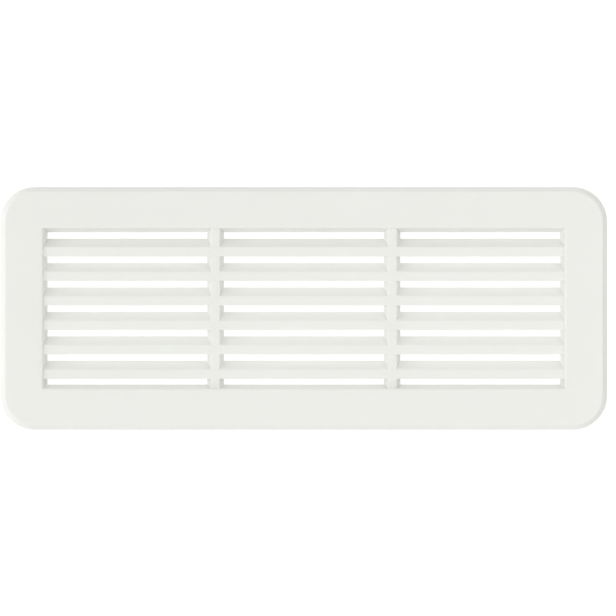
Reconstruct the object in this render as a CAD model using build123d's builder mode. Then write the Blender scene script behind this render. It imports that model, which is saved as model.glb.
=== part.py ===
from build123d import *

import os
from math import atan, cos, radians, tan

# Door vent grille: one moulded piece with a flange, a louvred opening and a collar behind it.
# X runs along the door from left to right, Z is up and the front looks towards -Y.
# The origin lies in the door's surface, at the middle of the grille. Sizes are in millimetres.

# Flange that lies on the door
flange_width = 300.0
flange_height = 120.0
flange_depth = 5.0
flange_corner_radius = 17.0
flange_wall = 2.2
rim_wall = 2.2
rim_bevel = 2.4
rim_edge_radius = 0.8

# Ribs that stiffen the hollow back of the flange and stop short of the door
rib_wall = 1.4
rib_setback = 0.5

# Opening in the flange, with walls that close in towards the back
border = 20.2
side_border = 20.8
opening_draft = 12.0
opening_edge_radius = 0.8

# Louvres in the opening
louvre_recess = 1.5
louvre_depth = 8.0
louvre_edge_radius = 0.4
bay_count = 3
mullion_face = 4.3
mullion_draft = 14.0
mullion_wall = 1.8
mullion_setback = 0.1
slat_count = 6
slat_face = 4.6
slat_rise = 4.6
slat_wall = 1.8

# Collar that goes into the hole in the door
collar_depth = 12.0
collar_wall = 2.2
collar_inner_radius = 0.8
collar_lead_in = 0.8

# Distances in front of the door's surface
skin_back = flange_depth - flange_wall
louvre_front = flange_depth - louvre_recess
louvre_back = louvre_front - louvre_depth

# Opening at the flange's face, and the narrower throat at the back of the louvres
draft_slope = tan(radians(opening_draft))
opening_width = flange_width - 2 * side_border
opening_height = flange_height - 2 * border
opening_depth = louvre_recess + louvre_depth
throat_inset = opening_depth * draft_slope
throat_width = opening_width - 2 * throat_inset
throat_height = opening_height - 2 * throat_inset

# The collar stands one wall outside the opening where it leaves the flange's skin
collar_margin = collar_wall - flange_wall * draft_slope
collar_width = opening_width + 2 * collar_margin
collar_height = opening_height + 2 * collar_margin
collar_outer_radius = collar_inner_radius + collar_wall

# Slats, mullions and ribs run on into the middle of the collar's wall
louvre_span_width = collar_width - collar_wall
louvre_span_height = collar_height - collar_wall

# The slats divide the throat's height, with a gap above the first and below the last
slat_height = slat_face + slat_rise
slat_gap = (throat_height - slat_count * slat_height) / (slat_count + 1)
slat_pitch = slat_height + slat_gap
slat_slope = slat_rise / louvre_depth
blade_height = slat_wall / cos(atan(slat_slope))


def mullion_width(depth):
    """Width of a mullion at a depth behind its face."""
    return mullion_face + 2 * depth * tan(radians(mullion_draft))


# The mullions divide the throat's width into equal bays
mullion_count = bay_count - 1
bay_pitch = (throat_width + mullion_width(louvre_depth)) / bay_count

# Planes for sketches seen from the front, with X to the right and Z up
door_plane = Plane.XZ
rib_plane = Plane.XZ.offset(rib_setback)
skin_plane = Plane.XZ.offset(skin_back)
collar_plane = Plane.XZ.offset(-collar_depth)

# Planes for the opening's sections, which start at the flange's face
face_origin = (0, -flange_depth, 0)
width_plane = Plane(face_origin, x_dir=(1, 0, 0), z_dir=(0, 0, 1))
height_plane = Plane(face_origin, x_dir=(0, 0, 1), z_dir=(-1, 0, 0))

# Planes for the louvres' sections, which start at the slats' front and a little behind it
slat_plane = Plane((0, -louvre_front, 0), x_dir=(0, 1, 0), z_dir=(1, 0, 0))
mullion_plane = Plane((0, mullion_setback - louvre_front, 0), x_dir=(1, 0, 0), z_dir=(0, 0, 1))


def draw_mullion(depth):
    """Draw a mullion seen from above, from its face to a depth behind it."""
    with Locations((0, depth / 2)):
        Trapezoid(mullion_width(depth), depth, 90 - mullion_draft, rotation=180)


def draw_opening(section, face_size):
    """Draw the opening in section: a rounded edge at the face, then walls that close in."""
    lead = 2 * opening_edge_radius
    with Locations((0, opening_depth / 2)):
        Trapezoid(face_size, opening_depth, 90 - opening_draft)
    Rectangle(face_size + 2 * lead, lead, align=(Align.CENTER, Align.MAX))
    at_face = section.vertices().group_by(Axis.Y)[1]
    fillet(at_face.sort_by_distance((0, 0, 0))[:2], radius=opening_edge_radius)


# Slat section: an upright lip at the front and a blade that rises towards the back
lip_foot = -slat_height / 2
lip_top = lip_foot + slat_face
blade_top = slat_height / 2
with BuildSketch() as slat_section:
    with BuildLine():
        Polyline(
            (0, lip_foot),
            (0, lip_top),
            (louvre_depth, blade_top),
            (louvre_depth, blade_top - blade_height),
            (slat_wall, lip_top + slat_wall * slat_slope - blade_height),
            (slat_wall, lip_foot),
            close=True,
        )
    make_face()
    fillet(slat_section.vertices(), radius=louvre_edge_radius)

# Mullion section: a wedge with rounded front edges
with BuildSketch() as mullion_section:
    draw_mullion(louvre_depth)
    fillet(mullion_section.vertices().group_by(Axis.Y)[0], radius=louvre_edge_radius)

# Channel inside a mullion, one wall in from its face and flanks and open at the back
with BuildSketch() as mullion_channel:
    draw_mullion(louvre_depth + 2 * mullion_wall)
    offset(amount=-mullion_wall, mode=Mode.REPLACE)

# Plug that cuts the opening: its section across the width, kept within its section up the height
with BuildPart() as opening_plug:
    with BuildSketch(width_plane) as width_section:
        draw_opening(width_section, opening_width)
    extrude(amount=opening_height, both=True)
    with BuildSketch(height_plane) as height_section:
        draw_opening(height_section, opening_height)
    extrude(amount=opening_width, both=True, mode=Mode.INTERSECT)

with BuildPart() as vent_grille:
    # Flange with a bevelled rim, its edges rounded, and a hollow back
    with BuildSketch(door_plane):
        RectangleRounded(flange_width, flange_height, flange_corner_radius)
    extrude(amount=flange_depth)
    chamfer(vent_grille.faces().sort_by(Axis.Y)[0].edges(), length=rim_bevel)
    edge_groups = vent_grille.edges().group_by(Axis.Y)
    face_edges = edge_groups[0]
    side_edges = edge_groups[2]
    fillet(face_edges + side_edges, radius=rim_edge_radius)
    with BuildSketch(door_plane):
        RectangleRounded(
            flange_width - 2 * rim_wall,
            flange_height - 2 * rim_wall,
            flange_corner_radius - rim_wall,
        )
    extrude(amount=skin_back, mode=Mode.SUBTRACT)

    # Collar, hollow behind the louvres, with an edge that leads into the hole
    with BuildSketch(skin_plane):
        RectangleRounded(collar_width, collar_height, collar_outer_radius)
    extrude(amount=-skin_back - collar_depth)
    with BuildSketch(collar_plane):
        RectangleRounded(
            collar_width - 2 * collar_wall,
            collar_height - 2 * collar_wall,
            collar_inner_radius,
        )
    extrude(amount=collar_depth + louvre_back, mode=Mode.SUBTRACT)
    chamfer(vent_grille.faces().sort_by(Axis.Y)[-1].outer_wire().edges(), length=collar_lead_in)

    # Ribs between the rim and the collar
    with BuildSketch(rib_plane):
        with GridLocations(bay_pitch / 2, 1, bay_count + mullion_count, 1):
            Rectangle(rib_wall, flange_height - rim_wall)
        Rectangle(flange_width - rim_wall, rib_wall)
        Rectangle(louvre_span_width, louvre_span_height, mode=Mode.SUBTRACT)
    extrude(amount=skin_back - rib_setback)

    # Opening with drafted walls and a rounded front edge
    add(opening_plug.part, mode=Mode.SUBTRACT)

    # Slats across the whole opening
    with BuildSketch(slat_plane):
        with GridLocations(1, slat_pitch, 1, slat_count):
            add(slat_section.sketch)
    extrude(amount=louvre_span_width / 2, both=True)

    # Mullions, as deep as the slats and just behind their faces, with their channels
    with BuildSketch(mullion_plane):
        with GridLocations(bay_pitch, 1, mullion_count, 1):
            add(mullion_section.sketch)
    extrude(amount=louvre_span_height / 2, both=True)
    with BuildSketch(mullion_plane):
        with GridLocations(bay_pitch, 1, mullion_count, 1):
            add(mullion_channel.sketch)
    extrude(amount=throat_height / 2, both=True, mode=Mode.SUBTRACT)

vent_grille.part.label = "vent_grille"
os.makedirs("parts", exist_ok=True)
export_step(vent_grille.part, "parts/vent_grille.step")
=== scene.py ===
import logging
import math
from dataclasses import dataclass
from enum import Enum

import bmesh
import bpy
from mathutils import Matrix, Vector


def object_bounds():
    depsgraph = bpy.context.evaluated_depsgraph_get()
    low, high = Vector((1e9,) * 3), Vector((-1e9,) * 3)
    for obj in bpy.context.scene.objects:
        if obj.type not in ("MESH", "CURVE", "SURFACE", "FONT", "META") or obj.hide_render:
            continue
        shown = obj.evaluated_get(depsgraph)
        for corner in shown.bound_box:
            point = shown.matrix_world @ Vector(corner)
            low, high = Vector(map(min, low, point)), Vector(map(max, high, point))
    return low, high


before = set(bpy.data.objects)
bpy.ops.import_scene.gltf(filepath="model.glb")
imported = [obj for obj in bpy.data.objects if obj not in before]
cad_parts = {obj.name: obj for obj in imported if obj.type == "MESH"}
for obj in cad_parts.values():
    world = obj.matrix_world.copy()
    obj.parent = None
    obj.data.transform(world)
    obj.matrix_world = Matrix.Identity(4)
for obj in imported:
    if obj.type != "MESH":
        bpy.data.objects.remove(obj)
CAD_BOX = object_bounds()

LOG = logging.getLogger("vent_grille_scene")

Colour = tuple[float, float, float]
Point = tuple[float, float, float]
NodeSocket = bpy.types.NodeSocket

# The photograph, in its own pixels: its side, the grille's width and the grille's middle
PHOTO_SIDE_PX = 616.0
GRILLE_WIDTH_PX = 606.5
GRILLE_MIDDLE_PX = (303.8, 308.4)

# Distance from the camera to the grille's outline, in metres
CAMERA_DISTANCE = 2.0

# Colour of the studio lamps, linear
LAMP_COLOUR: Colour = (1.0, 1.0, 0.986)


class Socket(Enum):
    """Inputs of the surface shader that the finishes set or drive."""

    COLOUR = "Base Color"
    ROUGHNESS = "Roughness"
    REFLECTANCE = "Specular IOR Level"
    GLOW = "Subsurface Weight"
    GLOW_RADIUS = "Subsurface Radius"
    GLOW_SCALE = "Subsurface Scale"
    NORMAL = "Normal"


class LightRole(Enum):
    """What each softbox does for the grille."""

    SIDE = "side_from_left"
    RIM = "rim_strip_from_left"
    KEY = "key_from_left"
    FILL = "fill_from_right"
    UNDER = "rim_strip_from_below"
    BACK_HIGH = "back_from_above"
    BACK_LOW = "back_from_below"


class NodeGraph:
    """A shader node tree that is being wired up."""

    def __init__(self, tree: bpy.types.NodeTree) -> None:
        """Empty the tree.

        Args:
            tree: node tree of a material or of the world.
        """
        self.tree = tree
        self.tree.nodes.clear()

    def add(self, kind: str, **settings: object) -> bpy.types.Node:
        """Add a node.

        Args:
            kind: Blender's name of the node type.
            settings: properties to set on the new node.

        Returns:
            The new node.
        """
        node = self.tree.nodes.new(kind)
        for name, value in settings.items():
            setattr(node, name, value)
        return node

    def link(self, source: NodeSocket, target: NodeSocket) -> None:
        """Join an output socket to an input socket."""
        self.tree.links.new(source, target)

    def arithmetic(self, operation: str, value: NodeSocket, *constants: float) -> NodeSocket:
        """Work out a value from another one.

        Args:
            operation: Blender's name of the operation.
            value: socket of the first operand.
            constants: the other operands, in their order.

        Returns:
            The result's socket.
        """
        node = self.add("ShaderNodeMath", operation=operation)
        self.link(value, node.inputs[0])
        for index, constant in enumerate(constants, start=1):
            node.inputs[index].default_value = constant
        return node.outputs["Value"]


class Surface(NodeGraph):
    """The node tree of a new material with one surface shader."""

    def __init__(self, name: str) -> None:
        """Make the material, its shader and the coordinates that its patterns follow.

        Args:
            name: name of the material.
        """
        self.material = bpy.data.materials.new(name)
        self.material.use_nodes = True
        super().__init__(self.material.node_tree)
        output = self.add("ShaderNodeOutputMaterial")
        self.shader = self.add("ShaderNodeBsdfPrincipled")
        self.link(self.shader.outputs["BSDF"], output.inputs["Surface"])
        self.place = self.add("ShaderNodeTexCoord").outputs["Object"]

    def set(self, socket: Socket, value: float | Colour) -> None:
        """Set an input of the shader to one value all over the surface."""
        self.shader.inputs[socket.value].default_value = value

    def drive(self, socket: Socket, source: NodeSocket) -> None:
        """Let an output socket drive an input of the shader."""
        self.link(source, self.shader.inputs[socket.value])

    def noise(self, cell: float, detail: float) -> NodeSocket:
        """Add noise that is fixed to the object.

        Args:
            cell: length of one cell of the noise, in metres.
            detail: octaves of finer noise on top.

        Returns:
            The noise's value socket, from 0 to 1.
        """
        node = self.add("ShaderNodeTexNoise")
        node.inputs["Scale"].default_value = 1 / cell
        node.inputs["Detail"].default_value = detail
        self.link(self.place, node.inputs["Vector"])
        return node.outputs["Fac"]

    def spread(self, value: NodeSocket, low: float, high: float) -> NodeSocket:
        """Map a value from 0..1 to a range.

        Args:
            value: socket to map.
            low: result at 0.
            high: result at 1.

        Returns:
            The mapped value's socket.
        """
        node = self.add("ShaderNodeMapRange")
        node.inputs["To Min"].default_value = low
        node.inputs["To Max"].default_value = high
        self.link(value, node.inputs["Value"])
        return node.outputs["Result"]

    def blend(self, factor: NodeSocket, first: Colour, second: Colour) -> NodeSocket:
        """Mix two colours.

        Args:
            factor: socket that goes from 0, the first colour, to 1, the second.
            first: linear colour at 0.
            second: linear colour at 1.

        Returns:
            The mixed colour's socket.
        """
        node = self.add("ShaderNodeMix", data_type="RGBA")
        node.inputs["A"].default_value = (*first, 1.0)
        node.inputs["B"].default_value = (*second, 1.0)
        self.link(factor, node.inputs["Factor"])
        return node.outputs["Result"]

    def bump(self, relief: NodeSocket, height: float) -> NodeSocket:
        """Tilt the surface along a relief.

        Args:
            relief: socket that goes from 0, the lowest, to 1, the highest.
            height: height of the relief, in metres.

        Returns:
            The tilted normal's socket.
        """
        node = self.add("ShaderNodeBump")
        node.inputs["Distance"].default_value = height
        self.link(relief, node.inputs["Height"])
        return node.outputs["Normal"]


@dataclass(frozen=True)
class MouldedPlastic:
    """Off-white plastic as it leaves a fine-textured mould.

    Lengths are in metres, and the colours are linear.
    """

    name: str = "off_white_plastic"
    pale: Colour = (0.903, 0.909, 0.886)
    deep: Colour = (0.881, 0.888, 0.861)
    flow_mark_length: float = 0.045
    flow_mark_detail: float = 2.0
    smooth: float = 0.46
    rough: float = 0.58
    cloud_length: float = 0.006
    cloud_detail: float = 3.0
    reflectance: float = 0.33
    glow: float = 0.7
    glow_radius: Colour = (1.0, 1.0, 1.0)
    glow_length: float = 0.0015
    grain_length: float = 0.00022
    grain_detail: float = 1.0
    grain_height: float = 0.000004

    def build(self) -> bpy.types.Material:
        """Wire up the plastic.

        Returns:
            The finished material.
        """
        surface = Surface(self.name)
        surface.set(Socket.REFLECTANCE, self.reflectance)
        surface.set(Socket.GLOW, self.glow)
        surface.set(Socket.GLOW_RADIUS, self.glow_radius)
        surface.set(Socket.GLOW_SCALE, self.glow_length)

        flow_marks = surface.noise(self.flow_mark_length, self.flow_mark_detail)
        surface.drive(Socket.COLOUR, surface.blend(flow_marks, self.deep, self.pale))

        clouds = surface.noise(self.cloud_length, self.cloud_detail)
        surface.drive(Socket.ROUGHNESS, surface.spread(clouds, self.smooth, self.rough))

        grain = surface.noise(self.grain_length, self.grain_detail)
        surface.drive(Socket.NORMAL, surface.bump(grain, self.grain_height))
        return surface.material


@dataclass(frozen=True)
class FloorPaint:
    """Matt white paint of the studio floor.

    The patch length is in metres, and the colours are linear.
    """

    name: str = "studio_white"
    pale: Colour = (0.93, 0.93, 0.92)
    deep: Colour = (0.90, 0.90, 0.89)
    patch_length: float = 0.4
    patch_detail: float = 2.0
    roughness: float = 0.8

    def build(self) -> bpy.types.Material:
        """Wire up the paint.

        Returns:
            The finished material.
        """
        surface = Surface(self.name)
        surface.set(Socket.ROUGHNESS, self.roughness)
        patches = surface.noise(self.patch_length, self.patch_detail)
        surface.drive(Socket.COLOUR, surface.blend(patches, self.deep, self.pale))
        return surface.material


@dataclass
class Grille:
    """The moulded grille, which keeps the shape of its solid."""

    node: str = "vent_grille"
    plastic: MouldedPlastic = MouldedPlastic()

    def dress(self) -> bpy.types.Object:
        """Give the grille its plastic.

        Returns:
            The grille's object.
        """
        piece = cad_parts[self.node]
        piece.data.materials.clear()
        piece.data.materials.append(self.plastic.build())
        return piece


@dataclass
class Floor:
    """Round pale floor, lower than a camera at the photograph's distance can go.

    Lengths are in metres.
    """

    drop: float = 1.1 * CAMERA_DISTANCE
    radius: float = 9 * CAMERA_DISTANCE
    segments: int = 96
    paint: FloorPaint = FloorPaint()

    def build(self) -> bpy.types.Object:
        """Make the floor.

        Returns:
            The floor's object.
        """
        mesh = bpy.data.meshes.new("floor")
        disc = bmesh.new()
        bmesh.ops.create_circle(disc, cap_ends=True, radius=self.radius, segments=self.segments)
        disc.to_mesh(mesh)
        disc.free()
        mesh.materials.append(self.paint.build())
        floor = bpy.data.objects.new("floor", mesh)
        floor.location.z = -self.drop
        bpy.context.scene.collection.objects.link(floor)
        return floor


@dataclass(frozen=True)
class Softbox:
    """Softbox that faces the grille, with its place and size in metres."""

    role: LightRole
    place: Point
    width: float
    height: float
    watts: float

    def build(self, lit: bpy.types.Collection) -> bpy.types.Object:
        """Hang the softbox.

        Args:
            lit: collection of the objects that the softbox lights.

        Returns:
            The light's object.
        """
        data = bpy.data.lights.new(self.role.value, "AREA")
        data.shape = "RECTANGLE"
        data.size = self.width
        data.size_y = self.height
        data.energy = self.watts
        data.color = LAMP_COLOUR
        light = bpy.data.objects.new(self.role.value, data)
        light.location = self.place
        light.rotation_euler = (-Vector(self.place)).to_track_quat("-Z", "Y").to_euler()
        light.visible_camera = False
        light.light_linking.receiver_collection = lit
        bpy.context.scene.collection.objects.link(light)
        return light


@dataclass(frozen=True)
class SoftboxSet:
    """The softboxes around the grille, which leave the floor to the tent's even light."""

    softboxes: tuple[Softbox, ...] = (
        Softbox(LightRole.SIDE, place=(-2.4, -1.2, 0.0), width=1.0, height=0.25, watts=9.3),
        Softbox(LightRole.RIM, place=(-2.4, 0.1, 0.2), width=0.16, height=1.6, watts=8.2),
        Softbox(LightRole.KEY, place=(-1.8, -2.0, 0.1), width=1.2, height=0.8, watts=12.4),
        Softbox(LightRole.FILL, place=(0.55, -0.75, 0.2), width=0.5, height=0.5, watts=1.4),
        Softbox(LightRole.UNDER, place=(0.0, -0.28, -0.7), width=1.2, height=0.15, watts=1.2),
        Softbox(LightRole.BACK_HIGH, place=(0.0, 1.4, 1.3), width=1.4, height=1.4, watts=4.5),
        Softbox(LightRole.BACK_LOW, place=(0.0, 0.7, -0.65), width=1.2, height=0.5, watts=2.9),
    )

    def build(self, grille: bpy.types.Object) -> list[bpy.types.Object]:
        """Hang the softboxes and keep their light on the grille.

        Args:
            grille: the object that they light.

        Returns:
            The lights' objects.
        """
        lit = bpy.data.collections.new("lit_by_softboxes")
        lit.objects.link(grille)
        return [softbox.build(lit) for softbox in self.softboxes]


@dataclass(frozen=True)
class LightTent:
    """Evenly lit white tent around the grille, with a bright backdrop behind it."""

    level: float = 0.59
    backdrop: float = 0.47
    backdrop_focus: float = 8.0

    def build(self) -> bpy.types.World:
        """Light the world as the inside of the tent.

        Returns:
            The world.
        """
        world = bpy.data.worlds.new("light_tent")
        world.use_nodes = True
        graph = NodeGraph(world.node_tree)
        output = graph.add("ShaderNodeOutputWorld")
        lining = graph.add("ShaderNodeBackground")
        lining.inputs["Color"].default_value = (*LAMP_COLOUR, 1.0)
        graph.link(lining.outputs["Background"], output.inputs["Surface"])

        direction = graph.add("ShaderNodeTexCoord").outputs["Generated"]
        axes = graph.add("ShaderNodeSeparateXYZ")
        graph.link(direction, axes.inputs["Vector"])
        behind = graph.arithmetic("MAXIMUM", axes.outputs["Y"], 0.0)
        spot = graph.arithmetic("POWER", behind, self.backdrop_focus)
        strength = graph.arithmetic("MULTIPLY_ADD", spot, self.backdrop, self.level)
        graph.link(strength, lining.inputs["Strength"])
        bpy.context.scene.world = world
        return world


@dataclass(frozen=True)
class PhotoCamera:
    """Camera straight in front of the grille, as in the photograph.

    Lengths are in metres, apart from the sensor's width in millimetres.
    """

    distance: float = CAMERA_DISTANCE
    outline_depth: float = 0.0027
    sensor_mm: float = 36.0

    def build(self) -> bpy.types.Object:
        """Place the camera so that the grille fills the frame as it does in the photograph.

        The grille's outline lies where its bevelled rim is widest, a little behind its face.

        Returns:
            The camera's object.
        """
        low, high = CAD_BOX
        metres_per_px = (high[0] - low[0]) / GRILLE_WIDTH_PX
        view_width = metres_per_px * PHOTO_SIDE_PX
        middle_px = PHOTO_SIDE_PX / 2
        data = bpy.data.cameras.new("photo_camera")
        data.sensor_width = self.sensor_mm
        data.lens = self.sensor_mm * self.distance / view_width
        camera = bpy.data.objects.new("photo_camera", data)
        camera.location = (
            (middle_px - GRILLE_MIDDLE_PX[0]) * metres_per_px,
            low[1] + self.outline_depth - self.distance,
            (GRILLE_MIDDLE_PX[1] - middle_px) * metres_per_px,
        )
        camera.rotation_euler = (math.pi / 2, 0.0, 0.0)
        bpy.context.scene.collection.objects.link(camera)
        bpy.context.scene.camera = camera
        return camera


def main() -> None:
    """Build the scene piece by piece."""
    logging.basicConfig(level=logging.INFO, format="%(name)s: %(message)s")
    grille = Grille().dress()
    LOG.info("dressed %s in %s", grille.name, grille.data.materials[0].name)
    floor = Floor().build()
    LOG.info("laid the %s at %.2f m", floor.name, floor.location.z)
    for light in SoftboxSet().build(grille):
        LOG.info("hung softbox %s", light.name)
    world = LightTent().build()
    LOG.info("lit %s", world.name)
    camera = PhotoCamera().build()
    LOG.info("placed %s", camera.name)

    # Plain tones, without a film curve
    bpy.context.scene.view_settings.view_transform = "Standard"


if __name__ == "__main__":
    main()
